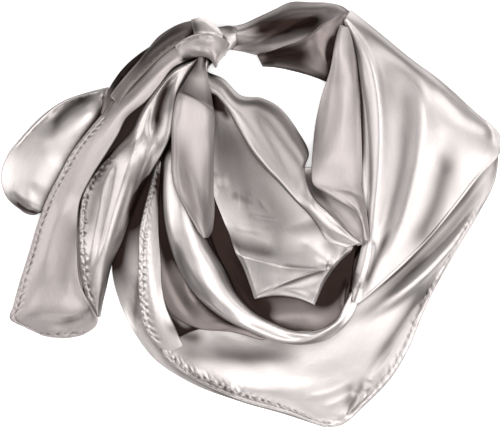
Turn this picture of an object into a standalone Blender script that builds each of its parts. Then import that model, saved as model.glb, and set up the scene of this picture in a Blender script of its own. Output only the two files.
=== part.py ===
"""A hijab: a satin square scarf, folded over its diagonal, knotted into a loop and laid flat.

The cloth is modelled as the stretches that show, each a thin sheet of its own, laid one on another in
the order in which they lie. The hidden layers between them and the table are rounded solids, stepped at
their edges as a stack of folded cloth is.

A stretch is worked out from a table with a row for each section across it. A section runs from edge A to
edge B, given in plan by ax ay and bx by, and az, cz and bz are the heights of the cloth's underside at
edge A, at the crown and at edge B. Plan columns are in grid units, the pixels of a 500 x 431 view from
above, with x to the right and y down. Heights are in millimetres above the table. A fold is one row
too: a ridge, or a trough if its rise is below zero, along the curve from x0 y0 through x1 y1 to x2 y2,
which dies away over the widths left and right of it.
"""

from collections import namedtuple

import bmesh
import bpy
import numpy as np
from mathutils.bvhtree import BVHTree

# Driving sizes, in metres
LOOP_WIDTH = 0.5470
CLOTH = 0.0015
GAP = 0.0003
LAYER = 0.0028
LAYER_NOSE = 0.0018
LAYER_STEP = 0.0050
CROWN_OF_LAYERS = 0.0012

# The plan view that the tables are read in
WIDTH_IN_GRID = 497.0
GRID = LOOP_WIDTH / WIDTH_IN_GRID
MIDDLE_X = 251.172
MIDDLE_Y = 214.314
MM = 0.001
WELD = 0.0001

# The map of heights that the sheets are laid on, with two cells to each grid unit
CELL = 0.5
MAP_MARGIN = 20
MAP_WIDTH = 540
MAP_DEPTH = 471
CLEAR_CELLS = 1
CLEAR_CELLS_AT_RIM = 2
SETTLING_STEP = 0.9
SETTLING_ROUNDS = 10
CROWN_SHARE = 0.5
LIFT_SLOPE = 0.8
PRESSING_PARTS = 4
PRESSING_ROUNDS = 6
PRESSING_REACH = 0.006

# The share of an open sheet's area that looks down when it lies face down
MOSTLY = 0.3

# The part of a run's width that its layers may step in on each side
LAYERS_SHARE = 0.42

# How a section falls to its edge, and how its places crowd towards the edges
ROLLED = 0.5
SOFT = 0.8
CROWDING = 0.5

# How fast folds begin inside a sheet's edges, and the places that stand for a fold's curve
FOLD_START = 6
FOLD_PLACES = 41

Sheet = namedtuple("Sheet", "name tint along across edge_a edge_b sections folds")
Layers = namedtuple("Layers", "name along count sections")

# The satin's colours, as red, green and blue, and its sheen
LIGHT = (0.52, 0.47, 0.45)
MIDDLE = (0.34, 0.30, 0.29)
DARK = (0.12, 0.10, 0.095)
HIDDEN = (0.22, 0.19, 0.18)
ROUGHNESS = 0.32
METALLIC = 0.5

HIDDEN_LAYERS = (
    Layers("hidden_body", 24, 4, """
         ax   ay   bx   by
        206  106  190   98
        226  120  186  120
        246  142  184  150
        262  172  182  185
        280  200  182  222
        296  222  188  262
        304  240  206  304
        312  250  250  342
        322  256  306  372
        334  258  345  372
        344  250  386  322
        350  234  420  262
        352  210  452  214
        352  180  472  172
        350  150  476  140
        350  120  456  112
        352   92  428   90
        354   66  392   68
        353   46  367   47
    """),
    Layers("hidden_band", 14, 4, """
         ax   ay   bx   by
        336   16  334   58
        322   11  322   66
        306   10  304   62
        290   11  288   58
        274   20  276   54
        258   29  260   48
        244   33  244   45
    """),
    Layers("hidden_tails", 18, 3, """
         ax   ay   bx   by
        188   42  198   66
        170   48  184   84
        146   66  170  108
        124   86  158  134
        102  112  146  158
         86  140  134  182
         72  168  122  206
         60  196  112  230
         50  228  102  256
         42  258   96  280
         36  288   90  298
         34  310   84  312
    """),
    Layers("hidden_lobe", 12, 3, """
         ax   ay   bx   by
         86  104   88  120
         66  112   76  134
         46  126   66  150
         30  144   56  164
         18  164   46  180
         16  182   38  194
         24  196   32  200
    """),
)

SHEETS = (
    Sheet("outer_layer", MIDDLE, 22, 5, SOFT, SOFT, """
         ax   ay  az  cz   bx   by  bz
        152  150   0   3  168  152   4
        138  180   0   3  166  184   5
        128  208   0   4  165  212   6
        119  232   0   4  165  240   6
        113  256   0   4  170  266   6
        114  280   0   4  186  290   6
        128  320   0   4  206  316   6
        155  359   0   4  222  342   6
        190  382   0   4  242  360   6
        240  401   0   4  276  380   6
        285  414   0   3  314  402   4
        325  427   0   1  332  422   2
    """, ""),
    Sheet("front_fall", LIGHT, 27, 9, SOFT, ROLLED, """
         ax   ay  az  cz   bx   by  bz
        485  160   3   5  498  152   0
        466  178  10  11  495  178   0
        440  206  12  14  478  213   0
        415  236  13  15  456  250   0
        385  266  14  16  437  283   0
        350  293  14  17  422  314   0
        316  316  13  18  408  348   0
        282  322  12  18  390  378   0
        254  322  11  17  364  405   0
        234  322  11  16  341  424   0
        222  324  11  15  330  426   3
        204  328   9  13  290  413   5
        186  334   8  11  235  397   5
        172  342   7   9  192  377   5
        162  346   5   6  164  358   4
    """, """
         x0   y0   x1   y1   x2   y2  left right rise
        500  168  455  225  360  312    7    7   -6
        498  180  452  243  350  330    7    9    7
        440  280  412  308  345  402    7    6   -5
        190  342  235  342  270  350    7    9    4
        195  356  245  360  300  374    8    8   -5
        195  372  250  384  305  392    8    8    4
        345  380  352  398  352  420    6   10   -6
    """),
    Sheet("cowl_lining", DARK, 8, 7, SOFT, SOFT, """
         ax   ay  az  cz   bx   by  bz
        206  215  15  13  354  240  15
        216  250  14  12  352  265  14
        229  275  13  12  350  285  13
        241  300  13  12  345  303  13
        259  318  14  13  338  318  14
        281  330  14  14  322  330  14
    """, ""),
    Sheet("under_swag", DARK, 18, 5, ROLLED, SOFT, """
         ax   ay  az  cz   bx   by  bz
        157  170   7  13  185  170  14
        157  215   7  13  195  215  14
        158  255   7  13  205  255  14
        162  290   7  13  215  285  14
        173  314   7  12  226  301  13
        200  328   8  12  240  316  13
        232  331   9  13  256  325  13
        262  339  10  13  275  333  13
    """, ""),
    Sheet("hem_strip", MIDDLE, 18, 4, SOFT, SOFT, """
         ax   ay  az  cz   bx   by  bz
        156  160   8   9  161  162   9
        151  185   6   8  159  187   8
        145  208   4   8  158  208   8
        140  232   4   8  158  232   8
        139  260   4   9  160  260   8
        139  285   4   9  161  285   8
        141  308   4   9  166  308   8
        147  330   4   9  176  330   8
        158  347   5   7  182  345   7
    """, ""),
    Sheet("swag", LIGHT, 25, 8, ROLLED, ROLLED, """
         ax   ay  az  cz   bx   by  bz
        176  105  12  22  205  105  14
        166  140   8  26  200  140  14
        163  172   7  28  200  175  14
        163  208   7  29  200  215  14
        170  242   7  29  208  243  13
        182  272   7  29  222  266  12
        200  298   8  28  235  293  12
        225  318  10  26  251  311  12
        252  331  11  23  270  322  12
        280  341  12  20  290  330  12
        304  343  12  19  306  332  12
        326  338  12  18  321  329  12
        344  325  12  17  336  320  12
        356  304  12  15  346  302  12
    """, """
         x0   y0   x1   y1   x2   y2  left right rise
        176  238  186  272  202  300    6    6   -4
    """),
    Sheet("top_band", LIGHT, 18, 7, ROLLED, SOFT, """
         ax   ay  az  cz   bx   by  bz
        223   28   8  16  229   49  10
        240   26   2  14  242   51   8
        258   18   0  14  258   55   9
        275   10   0  15  273   57  11
        290    3   0  16  286   51  14
        310    3   0  16  303   44  16
        330    4   0  16  322   33  17
        342    7   0  13  335   28  14
        351   14   2   8  346   27   9
    """, """
         x0   y0   x1   y1   x2   y2  left right rise
        218   36  250   26  286    8    6    6    5
        222   42  256   40  300   22    6    6   -4
    """),
    Sheet("band_fold", LIGHT, 16, 8, SOFT, ROLLED, """
         ax   ay  az  cz   bx   by  bz
        258   56  12  14  263   66   2
        272   52  15  19  276   67   0
        286   47  18  22  291   70   0
        300   42  19  24  306   74   0
        312   34  20  25  318   78   0
        323   25  19  25  329   82   2
        335   18  16  22  335   80   6
        347   14   9  14  345   66   8
    """, """
         x0   y0   x1   y1   x2   y2  left right rise
        306   42  322   26  344    8    6    6    5
        326   30  320   52  328   76    6    6   -5
    """),
    Sheet("right_fall", LIGHT, 22, 12, SOFT, ROLLED, """
         ax   ay  az  cz   bx   by  bz
        344   22   6   9  351   11   0
        349   37   8  16  376   31   0
        355   55   8  20  410   59   0
        358   80   8  23  440   81   0
        360  110   8  25  473  111   0
        360  138   8  26  499  136   0
        360  160   8  26  499  152   0
        361  180   9  25  478  176   8
        362  205  10  24  457  203  15
        364  232  11  24  431  235  16
        358  260  12  23  406  261  16
        352  285  13  19  378  286  15
        352  301  13  15  358  303  14
    """, """
         x0   y0   x1   y1   x2   y2  left right rise
        350   28  381  140  356  300    9   10    8
        392   50  402  170  362  290   12   12   -8
        408   62  424  150  370  292   12   12    7
        440  150  436  210  396  268   10   10   -6
        500  122  488  140  486  160    5    6   -5
    """),
    Sheet("centre_panel", MIDDLE, 18, 10, SOFT, SOFT, """
         ax   ay  az  cz   bx   by  bz
        211   92  16  17  217   92  17
        213  120  14  18  240  118  17
        213  155  13  18  265  150  18
        213  190  13  19  290  180  18
        222  215  13  19  312  205  18
        230  235  13  19  335  230  18
        236  252  13  19  352  246  16
        243  265  12  18  337  263  13
        250  283  11  16  323  283  12
        255  298  11  13  314  304  11
    """, """
         x0   y0   x1   y1   x2   y2  left right rise
        228  250  285  270  336  264    9    8    7
        350  236  338  262  318  272    7    7    5
        338  262  290  272  250  300    6    9    5
        262  276  300  282  332  276    6    6   -5
        216  128  226  185  246  244   10   10   -4
    """),
    Sheet("flap_lining", DARK, 12, 4, SOFT, SOFT, """
         ax   ay  az  cz   bx   by  bz
        303  168  19  20  317  168  20
        306  190  19  20  331  188  20
        320  208  19  20  351  200  20
        338  224  19  20  361  215  20
        350  238  18  20  365  232  19
        357  245  17  18  366  243  18
    """, ""),
    Sheet("neck_edge", LIGHT, 20, 6, ROLLED, ROLLED, """
         ax   ay  az  cz   bx   by  bz
        209   91  18  21  208   73  12
        217   97  18  22  222   79   7
        228  110  18  23  240   96   4
        240  131  18  23  262   99   3
        252  152  18  23  280  109   3
        266  169  18  23  297  131   3
        280  183  18  23  308  153   5
        295  200  19  23  304  170  16
        308  213  19  23  311  195  19
        318  226  19  23  327  212  19
        326  240  18  22  343  228  18
        346  247  17  18  360  243  17
    """, """
         x0   y0   x1   y1   x2   y2  left right rise
        206   92  244  136  330  246    5    9    4
    """),
    Sheet("inner_flap", LIGHT, 16, 7, ROLLED, SOFT, """
         ax   ay  az  cz   bx   by  bz
        340   27   5   9  347   29   8
        337   36   4  12  350   38   9
        335   45   2  15  352   46  10
        330   72   2  18  357   72  11
        322   97   2  19  359   97  11
        316  125   2  20  360  125  11
        313  155   7  21  361  155  12
        312  171  17  22  361  172  13
        314  185  19  22  361  187  13
        326  193  19  22  363  198  11
        338  201  19  22  365  207  11
        349  207  19  21  366  215  11
        356  213  18  19  367  223  11
        361  224  16  16  368  232  11
        363  239  13  13  368  241  11
    """, ""),
    Sheet("end_lobe", LIGHT, 15, 8, ROLLED, SOFT, """
         ax   ay  az  cz   bx   by  bz
        108   88   0   6  107  118   6
         88   93   0  12  100  132   6
         65  101   0  14   91  148   6
         42  117   0  15   81  164   6
         22  138   0  15   72  178   5
          8  157   0  15   62  192   4
          2  178   0  13   54  204   2
          8  198   0   9   46  211   0
         24  212   0   3   38  213   0
    """, """
         x0   y0   x1   y1   x2   y2  left right rise
        104   94   62  112   44  150    8    8   -6
         14  188   28  204   46  208    5    8    4
    """),
    Sheet("tail_inner", LIGHT, 22, 8, SOFT, ROLLED, """
         ax   ay  az  cz   bx   by  bz
        193   60  18  22  202   59  20
        174   71  15  22  191   71  16
        157   90  13  22  181   92  12
        142  112  12  21  176  112   9
        130  135  11  20  170  137   7
        115  150  10  20  163  152   5
         99  168   9  19  152  170   3
         86  188   9  18  141  190   0
         81  212   9  18  131  213   0
         80  238   9  17  122  240   0
         81  262   9  16  111  265   0
         84  285   8  14  106  287   0
         90  303   6  10  102  304   0
         97  316   4   5  100  316   2
    """, """
         x0   y0   x1   y1   x2   y2  left right rise
        186   62  142  118  130  200    6    7    7
        172   76  150  120  164  142    5    7   -6
        128  198  118  220   98  300    6    6    5
        142  170  128  200  116  246    6    5   -5
    """),
    Sheet("tail_front", LIGHT, 22, 7, SOFT, ROLLED, """
         ax   ay  az  cz   bx   by  bz
        197   38  22  25  203   56  23
        180   45  19  25  187   61  21
        160   57  16  25  173   68  19
        143   75  14  24  158   87  17
        127   91  11  23  146  101  17
        112  106   6  22  127  117  17
         95  125   2  21  118  134  16
         76  149   0  19  107  152  16
         60  177   0  17   90  179  15
         48  200   0  15   80  200  10
         38  226   0  13   77  225   6
         29  256   0  12   77  254   5
         20  284   0  11   80  284   4
         14  306   0   9   90  305   2
         11  319   0   6   97  318   0
         25  327   0   4   95  326   0
         42  335   0   2   84  334   0
    """, """
         x0   y0   x1   y1   x2   y2  left right rise
         78  196   50  236   42  290    7    9    4
         86  222   66  262   60  312    8    8   -5
         90  290   86  316   46  328    7    5   -4
    """),
    Sheet("tail_band_under", DARK, 10, 3, ROLLED, SOFT, """
         ax   ay  az  cz   bx   by  bz
        152   46   2   9  157   60  14
        140   54   1   9  145   68  14
        125   67   0   9  131   81  14
        113   83   0   8  119   96  14
        106   98   0   7  111  106  10
        102  113   0   4  104  117   5
    """, ""),
    Sheet("tail_band", DARK, 18, 7, ROLLED, SOFT, """
         ax   ay  az  cz   bx   by  bz
        204   20  12  22  200   37  24
        180   25  11  23  180   44  25
        160   37  11  23  163   55  25
        148   51  13  25  148   70  26
        140   61  14  25  140   78  25
        128   75  14  24  130   89  24
        119   86  13  20  124   97  20
        111   97  12  16  119  104  16
    """, ""),
    Sheet("front_strip", LIGHT, 18, 8, ROLLED, ROLLED, """
         ax   ay  az  cz   bx   by  bz
        198   61  24  27  204   61  24
        188   79  19  28  207   77  22
        178   98  15  30  212  101  20
        174  120  12  31  214  120  19
        173  150  12  32  213  150  19
        173  172  13  32  213  172  19
        177  190  14  32  213  192  19
        187  208  16  30  213  209  19
        197  224  18  27  211  222  19
        204  236  19  22  208  236  19
    """, """
         x0   y0   x1   y1   x2   y2  left right rise
        182  176  186  198  200  222    5    5   -5
        206  190  207  205  205  222    5    5   -4
    """),
    Sheet("knot_back", MIDDLE, 6, 5, ROLLED, ROLLED, """
         ax   ay  az  cz   bx   by  bz
        214   29  18  26  216   54  18
        222   28  18  29  222   54  18
        229   27  16  28  229   50  16
        236   28  14  22  236   44  14
    """, ""),
    Sheet("knot_top", LIGHT, 8, 6, ROLLED, SOFT, """
         ax   ay  az  cz   bx   by  bz
        192   21   6  24  196   38  24
        200   19   8  29  203   38  28
        208   22  14  34  211   38  33
        216   28  18  31  217   40  28
        223   35  16  25  222   42  22
    """, ""),
    Sheet("knot_wrap", LIGHT, 12, 7, SOFT, ROLLED, """
         ax   ay  az  cz   bx   by  bz
        176   47  20  22  182   62  20
        185   41  24  30  190   59  24
        194   37  30  38  197   57  28
        203   36  31  41  204   57  30
        210   36  31  42  211   60  29
        217   38  30  41  216   68  26
        224   41  28  36  219   62  24
        229   45  24  28  226   54  22
    """, """
         x0   y0   x1   y1   x2   y2  left right rise
        188   44  205   42  226   46    4    5   -3
    """),
)


def columns(text):
    """A table written as text, as an array for each named column of its first line."""
    lines = [line.split() for line in text.strip().splitlines()]
    if not lines:
        return {}
    return {
        name: np.array([float(line[place]) for line in lines[1:]])
        for place, name in enumerate(lines[0])
    }


def eased(stops, values, at):
    """The values at some places between the stops, on a smooth curve through them."""
    slopes = np.gradient(values, stops)
    low = np.clip(np.searchsorted(stops, at, side="right") - 1, 0, len(stops) - 2)
    span = stops[low + 1] - stops[low]
    part = (at - stops[low]) / span
    rest = 1 - part
    ends = values[low] * (1 + 2 * part) * rest**2 + values[low + 1] * part**2 * (1 + 2 * rest)
    return ends + span * (slopes[low] * part * rest**2 - slopes[low + 1] * part**2 * rest)


def sections_along(text, count):
    """A table's columns, read at evenly spaced places along the stretch."""
    rows = columns(text)
    steps = [np.hypot(np.diff(rows[side + "x"]), np.diff(rows[side + "y"])) for side in "ab"]
    stops = np.concatenate([[0], np.cumsum(0.5 * (steps[0] + steps[1]))])
    at = np.linspace(0, stops[-1], count)
    return {name: eased(stops, values, at) for name, values in rows.items()}


def in_world(x, y, z):
    """Plan places and heights as points in metres."""
    return np.stack([(x - MIDDLE_X) * GRID, (MIDDLE_Y - y) * GRID, z], axis=-1)


def spread(heights, reach):
    """A map of heights with each cell raised to the highest within this many cells of it."""
    shifts = range(-reach, reach + 1)
    for axis in (0, 1):
        heights = np.max([np.roll(heights, shift, axis) for shift in shifts], axis=0)
    return heights


class Pile:
    """All that has been laid down so far, as triangles and as a map of heights."""

    def __init__(self):
        self.top = np.zeros((int(MAP_DEPTH / CELL), int(MAP_WIDTH / CELL)))
        self.near_top = self.top
        self.near_rim = self.top
        self.corners = np.zeros((0, 3, 3))

    def cells(self, x, y):
        column = np.rint((x + MAP_MARGIN) / CELL).astype(int)
        row = np.rint((y + MAP_MARGIN) / CELL).astype(int)
        return np.clip(row, 0, self.top.shape[0] - 1), np.clip(column, 0, self.top.shape[1] - 1)

    def add(self, corners):
        """Raises the map to a solid's triangles, given by their corners in metres."""
        reach = np.linalg.norm(corners - np.roll(corners, 1, axis=1), axis=2).max() / GRID
        parts = np.linspace(0, 1, int(reach / CELL) + 2)
        first, second = (grid.ravel() for grid in np.meshgrid(parts, parts))
        inside = first + second <= 1
        weights = np.stack([1 - first - second, first, second], axis=1)[inside]
        points = np.einsum("sc,tcd->tsd", weights, corners).reshape(-1, 3)
        cells = self.cells(points[:, 0] / GRID + MIDDLE_X, MIDDLE_Y - points[:, 1] / GRID)
        np.maximum.at(self.top, cells, points[:, 2])
        self.near_top = spread(self.top, CLEAR_CELLS)
        self.near_rim = spread(self.top, CLEAR_CELLS_AT_RIM)
        self.corners = np.concatenate([self.corners, corners])

    def floor(self, x, y, at_rim):
        """The least height of a piece laid at these places, at its rim or inside it."""
        cells = self.cells(x, y)
        top = np.where(at_rim, self.near_rim[cells], self.near_top[cells])
        return np.where(top > 0, top + GAP, 0)

    def triangle_tree(self):
        """The solids' triangles, made ready for finding the nearest."""
        count = len(self.corners)
        return BVHTree.FromPolygons(
            self.corners.reshape(-1, 3).tolist(), np.arange(3 * count).reshape(count, 3).tolist()
        )


def fold_rise(text, x, y):
    """How far the folds of a sheet lift it at these places."""
    rise = np.zeros_like(x)
    rows = columns(text)
    t = np.linspace(0, 1, FOLD_PLACES)
    for k in range(len(rows.get("x0", ()))):
        ends = [np.array([rows["x%d" % p][k], rows["y%d" % p][k]]) for p in range(3)]
        pull = 2 * ends[1] - 0.5 * (ends[0] + ends[2])
        curve = (
            np.outer((1 - t) ** 2, ends[0]) + np.outer(2 * t * (1 - t), pull) + np.outer(t**2, ends[2])
        )
        away = np.stack([x, y], axis=-1)[..., None, :] - curve
        nearest = np.linalg.norm(away, axis=-1).argmin(axis=-1)
        offset = np.take_along_axis(away, nearest[..., None, None], axis=-2)[..., 0, :]
        heading = np.gradient(curve, axis=0)[nearest]
        on_right = heading[..., 0] * offset[..., 1] - heading[..., 1] * offset[..., 0] > 0
        width = np.where(on_right, rows["right"][k], rows["left"][k])
        fade = np.sqrt(4 * t * (1 - t))[nearest]
        rise += rows["rise"][k] * MM * fade * np.exp(-((np.linalg.norm(offset, axis=-1) / width) ** 2))
    return rise


def settled(x, y, z, pile):
    """The heights of a sheet's underside, let down on the pile and lifted until all of it is clear."""
    longest = max(np.hypot(np.diff(x, axis=k), np.diff(y, axis=k)).max() for k in (0, 1))
    parts = np.linspace(0, 1, int(longest / SETTLING_STEP) + 2)
    across, along = (grid.ravel() for grid in np.meshgrid(parts, parts))
    low = np.minimum(across, along)
    weights = np.stack([1 - np.maximum(across, along), across - low, low, along - low], axis=1)

    def corners(values):
        return np.stack([values[:-1, :-1], values[:-1, 1:], values[1:, 1:], values[1:, :-1]], axis=-1)

    rows, wide = x.shape[0] - 1, x.shape[1] - 1
    at_rim = np.zeros((rows, wide, len(across)), bool)
    at_rim[0][:, along == 0] = True
    at_rim[-1][:, along == 1] = True
    at_rim[:, 0][:, across == 0] = True
    at_rim[:, -1][:, across == 1] = True
    floor = pile.floor(corners(x) @ weights.T, corners(y) @ weights.T, at_rim)
    inside = [np.sqrt(np.sin(np.pi * np.linspace(0, 1, count))) for count in z.shape]
    for dome in (np.ones_like(z), np.outer(*inside)):
        share = corners(dome) @ weights.T
        laid_on = (floor > 0) & (share > CROWN_SHARE)
        if laid_on.any():
            room = ((corners(z) @ weights.T - floor)[laid_on] / share[laid_on]).min()
            z = np.maximum(z - max(room, 0) * dome, 0)
    let_down = z
    share = weights / (weights**2).sum(axis=1, keepdims=True)
    for turn in range(SETTLING_ROUNDS):
        short = np.maximum(floor - corners(z) @ weights.T, 0)
        if turn == SETTLING_ROUNDS - 1:
            share = (weights > 0).astype(float)
        raised = np.zeros_like(z)
        for corner, (row, column) in enumerate(((0, 0), (0, 1), (1, 1), (1, 0))):
            part = raised[row : row + rows, column : column + wide]
            np.maximum(part, (short * share[:, corner]).max(axis=-1), out=part)
        z = z + raised
    apart = np.hypot(*(np.subtract.outer(places.ravel(), places.ravel()) for places in (x, y))) * GRID
    lift = ((z - let_down).ravel() - LIFT_SLOPE * apart).max(axis=1)
    return let_down + lift.reshape(z.shape)


def pressed(x, y, z, pile):
    """The heights of a settled sheet, let straight down until it is a gap away from the pile."""
    if not pile.floor(x, y, False).any():
        return z
    solids = pile.triangle_tree()
    below = np.unique(np.round(pile.corners.reshape(-1, 3), 6), axis=0).tolist()
    parts = np.linspace(0, 1, PRESSING_PARTS + 1)
    faces = grid_faces(*x.shape)
    for _ in range(PRESSING_ROUNDS):
        points = in_world(x, y, z)
        corners = points.reshape(-1, 3)[np.array(faces)]
        samples = [
            corners[:, 0] * (1 - a - b) + corners[:, 1] * a + corners[:, 2] * b
            for a in parts
            for b in parts
            if a + b <= 1
        ]
        sheet = BVHTree.FromPolygons(points.reshape(-1, 3).tolist(), faces)
        above = np.concatenate(samples).tolist()
        found = [solids.find_nearest(place, PRESSING_REACH)[3] for place in above]
        found += [sheet.find_nearest(place, PRESSING_REACH)[3] for place in below]
        near = min((distance for distance in found if distance is not None), default=GAP)
        z = np.maximum(z - max(near - GAP, 0), 0)
    return z


def grid_faces(rows, wide):
    """The triangles of a sheet of this many rows and columns of points."""
    faces = []
    for row in range(rows - 1):
        for column in range(wide - 1):
            here = row * wide + column
            faces.append((here, here + 1, here + wide + 1))
            faces.append((here, here + wide + 1, here + wide))
    return faces


def sheet_heights(sheet, rows, u, x, y):
    """The heights of a sheet's underside before it is laid on what is below it."""
    edges = (1 - u) * rows["az"][:, None] + u * rows["bz"][:, None]
    crown = rows["cz"][:, None] - 0.5 * (rows["az"] + rows["bz"])[:, None]
    arch = (4 * u * (1 - u)) ** np.where(u < 0.5, sheet.edge_a, sheet.edge_b)
    level = (edges + crown * arch) * MM
    at_edge = np.minimum(1, FOLD_START * u * (1 - u))
    return np.maximum(level + at_edge * fold_rise(sheet.folds, x, y), 0)


def satin(name, colour):
    """A satin material of one colour."""
    material = bpy.data.materials.new(name)
    material.use_nodes = True
    material.diffuse_color = (*colour, 1)
    shader = material.node_tree.nodes["Principled BSDF"]
    shader.inputs["Base Color"].default_value = (*colour, 1)
    shader.inputs["Roughness"].default_value = ROUGHNESS
    shader.inputs["Metallic"].default_value = METALLIC
    return material


def new_object(name, points, faces, colour, collection):
    """An object of these points and faces, shaded smooth, facing up or out."""
    mesh = bpy.data.meshes.new(name)
    shape = bmesh.new()
    corners = [shape.verts.new(point) for point in points]
    for face in faces:
        shape.faces.new([corners[place] for place in face])
    bmesh.ops.remove_doubles(shape, verts=shape.verts, dist=WELD)
    bmesh.ops.recalc_face_normals(shape, faces=shape.faces)
    shape.normal_update()
    upward = sum(face.normal.z * face.calc_area() for face in shape.faces)
    if upward < -MOSTLY * sum(face.calc_area() for face in shape.faces):
        bmesh.ops.reverse_faces(shape, faces=shape.faces)
    shape.to_mesh(mesh)
    shape.free()
    mesh.shade_smooth()
    thing = bpy.data.objects.new(name, mesh)
    thing.data.materials.append(satin(name + "_satin", colour))
    collection.objects.link(thing)
    return thing


def lay_sheet(sheet, pile, collection):
    """One stretch of cloth: an open sheet laid on the pile, thickened upwards."""
    rows = sections_along(sheet.sections, sheet.along)
    even = np.linspace(0, 1, sheet.across + 1)
    u = (even - CROWDING * np.sin(2 * np.pi * even) / (2 * np.pi))[None, :]
    x = (1 - u) * rows["ax"][:, None] + u * rows["bx"][:, None]
    y = (1 - u) * rows["ay"][:, None] + u * rows["by"][:, None]
    z = settled(x, y, sheet_heights(sheet, rows, u, x, y), pile)
    z = pressed(x, y, z, pile)
    points = in_world(x, y, z).reshape(-1, 3)
    thing = new_object(sheet.name, points, grid_faces(*x.shape), sheet.tint, collection)
    wall = thing.modifiers.new("wall", "SOLIDIFY")
    wall.thickness = CLOTH
    wall.offset = 1
    wall.use_quality_normals = True
    return thing


def layer_profile(count, width):
    """Half of a section through stacked layers, as insets from its edge and heights."""
    inset, height = [], []
    for layer in range(count):
        start = layer * LAYER_STEP
        inset += [start + LAYER_NOSE, start, start + LAYER_NOSE]
        height += [layer * LAYER, (layer + 0.5) * LAYER, (layer + 1) * LAYER]
    inset = np.minimum(np.array(inset), LAYERS_SHARE * width)
    return inset, np.array(height)


def stack_layers(layers, collection):
    """The hidden layers of one run: a flat-bottomed, rounded solid with stepped edges."""
    rows = sections_along(layers.sections, layers.along)
    points = []
    for k in range(layers.along):
        a = np.array([rows["ax"][k], rows["ay"][k]])
        b = np.array([rows["bx"][k], rows["by"][k]])
        width = np.linalg.norm(b - a) * GRID
        inset, height = layer_profile(layers.count, width)
        part = np.concatenate([inset / width, [0.5], 1 - inset[::-1] / width])
        level = np.concatenate([height, [height[-1] + CROWN_OF_LAYERS], height[::-1]])
        plan = a + part[:, None] * (b - a)
        points.append(in_world(plan[:, 0], plan[:, 1], level))
    wide = len(points[0])
    faces = []
    for k in range(layers.along - 1):
        for j in range(wide):
            here = k * wide + j
            beside = k * wide + (j + 1) % wide
            faces.append((here, beside, beside + wide, here + wide))
    faces.append(tuple(range(wide)))
    faces.append(tuple(range((layers.along - 1) * wide, layers.along * wide)))
    return new_object(layers.name, np.concatenate(points), faces, HIDDEN, collection)


def triangles(thing):
    """The corners of an object's triangles, with its modifiers."""
    made = thing.evaluated_get(bpy.context.evaluated_depsgraph_get())
    mesh = made.to_mesh()
    mesh.calc_loop_triangles()
    points = np.array([vertex.co for vertex in mesh.vertices])
    corners = points[np.array([triangle.vertices for triangle in mesh.loop_triangles])]
    made.to_mesh_clear()
    return corners


def main():
    for thing in list(bpy.data.objects):
        bpy.data.objects.remove(thing, do_unlink=True)
    scarf = bpy.data.collections.new("knotted_scarf")
    bpy.context.scene.collection.children.link(scarf)
    pile = Pile()
    for layers in HIDDEN_LAYERS:
        pile.add(triangles(stack_layers(layers, scarf)))
    for sheet in SHEETS:
        pile.add(triangles(lay_sheet(sheet, pile, scarf)))


main()
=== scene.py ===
"""The finish of a knotted satin scarf, laid flat: its cloth, fine folds, hems, stitches and light.

Every stretch of cloth is a thin sheet of its own, worked out finely on the form of its solid. Places
in the tables are in grid units, the pixels of a 500 x 431 view from above, with x to the right and
y down. Rises and the measures of hems are in mm.
"""

import math
from collections import namedtuple

import bpy
import numpy as np
from mathutils.bvhtree import BVHTree
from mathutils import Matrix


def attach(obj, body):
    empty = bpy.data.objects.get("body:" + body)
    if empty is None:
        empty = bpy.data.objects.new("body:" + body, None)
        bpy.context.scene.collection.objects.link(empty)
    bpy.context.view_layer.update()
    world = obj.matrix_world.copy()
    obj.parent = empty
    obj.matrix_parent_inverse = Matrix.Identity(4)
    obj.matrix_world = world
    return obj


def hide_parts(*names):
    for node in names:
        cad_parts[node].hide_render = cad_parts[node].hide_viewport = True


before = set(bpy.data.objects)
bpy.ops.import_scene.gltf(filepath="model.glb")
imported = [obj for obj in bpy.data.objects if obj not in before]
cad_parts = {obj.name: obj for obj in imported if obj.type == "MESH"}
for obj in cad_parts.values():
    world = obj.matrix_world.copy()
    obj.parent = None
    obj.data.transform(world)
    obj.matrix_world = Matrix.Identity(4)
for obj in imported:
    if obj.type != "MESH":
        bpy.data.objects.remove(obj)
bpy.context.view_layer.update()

# The view from above that the tables are read in
VIEW_WIDTH = 500
VIEW_HEIGHT = 431
LOOP_WIDTH = 0.5470
WIDTH_IN_GRID = 497.0
GRID = LOOP_WIDTH / WIDTH_IN_GRID
MIDDLE_X = 251.172
MIDDLE_Y = 214.314
MM = 0.001

# The cloth: its thickness, how far it keeps clear of what it lies on, and how far above the underside
# of its solid, in metres
CLOTH = 0.0006
CLEARANCE = 0.0002
SEAT = 0.0003

# The grid of a sheet: the size of its squares, and how much closer they are at its edges
FACET = 1.4
CROWDING = 0.5

# How far out from its middle line a solid is felt for, so that it isn't missed at its edges, and
# from how far below
INSIDE = 0.98
FAR_BELOW = -1

# The hidden layers: their thickness, round noses and steps, how far they may step in, how high the
# topmost one is crowned, how the stack is pressed and lifted clear, and a height inside it
LAYER = 0.0028
LAYER_NOSE = 0.0016
LAYER_STEP = 0.0050
LAYERS_SHARE = 0.42
LAYERS_CROWN = 0.0012
LAYERS_PRESSED = 0.98
LAYERS_LIFT = 0.0001
LAYERS_INSIDE = 0.005
LAYERS_FACET = 3 * FACET
NOSE_PLACES = 5

# The map of heights that the sheets are laid on, and how a lift off it is eased into the cloth
CELL = 0.5
MAP_MARGIN = 20
MAP_WIDTH = 540
MAP_DEPTH = 471
STAMPS = 5
EASE_SLOPE = 0.5
EASE_ROUNDS = 14
EASE_REACH = 3

# How an edge that lies high turns under: from how high, how far out and in, at most and as shares of
# its height, and its places
TURN_FROM = 0.0008
TURN_BULGE = 0.0012
TURN_BULGE_SHARE = 0.3
TURN_TUCK = 0.0030
TURN_TUCK_SHARE = 0.6
TURN_FLAT = 0.0002
TURN_PLACES = 4
TURN_EVENED = 6
NO_LENGTH = 1e-6

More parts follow.
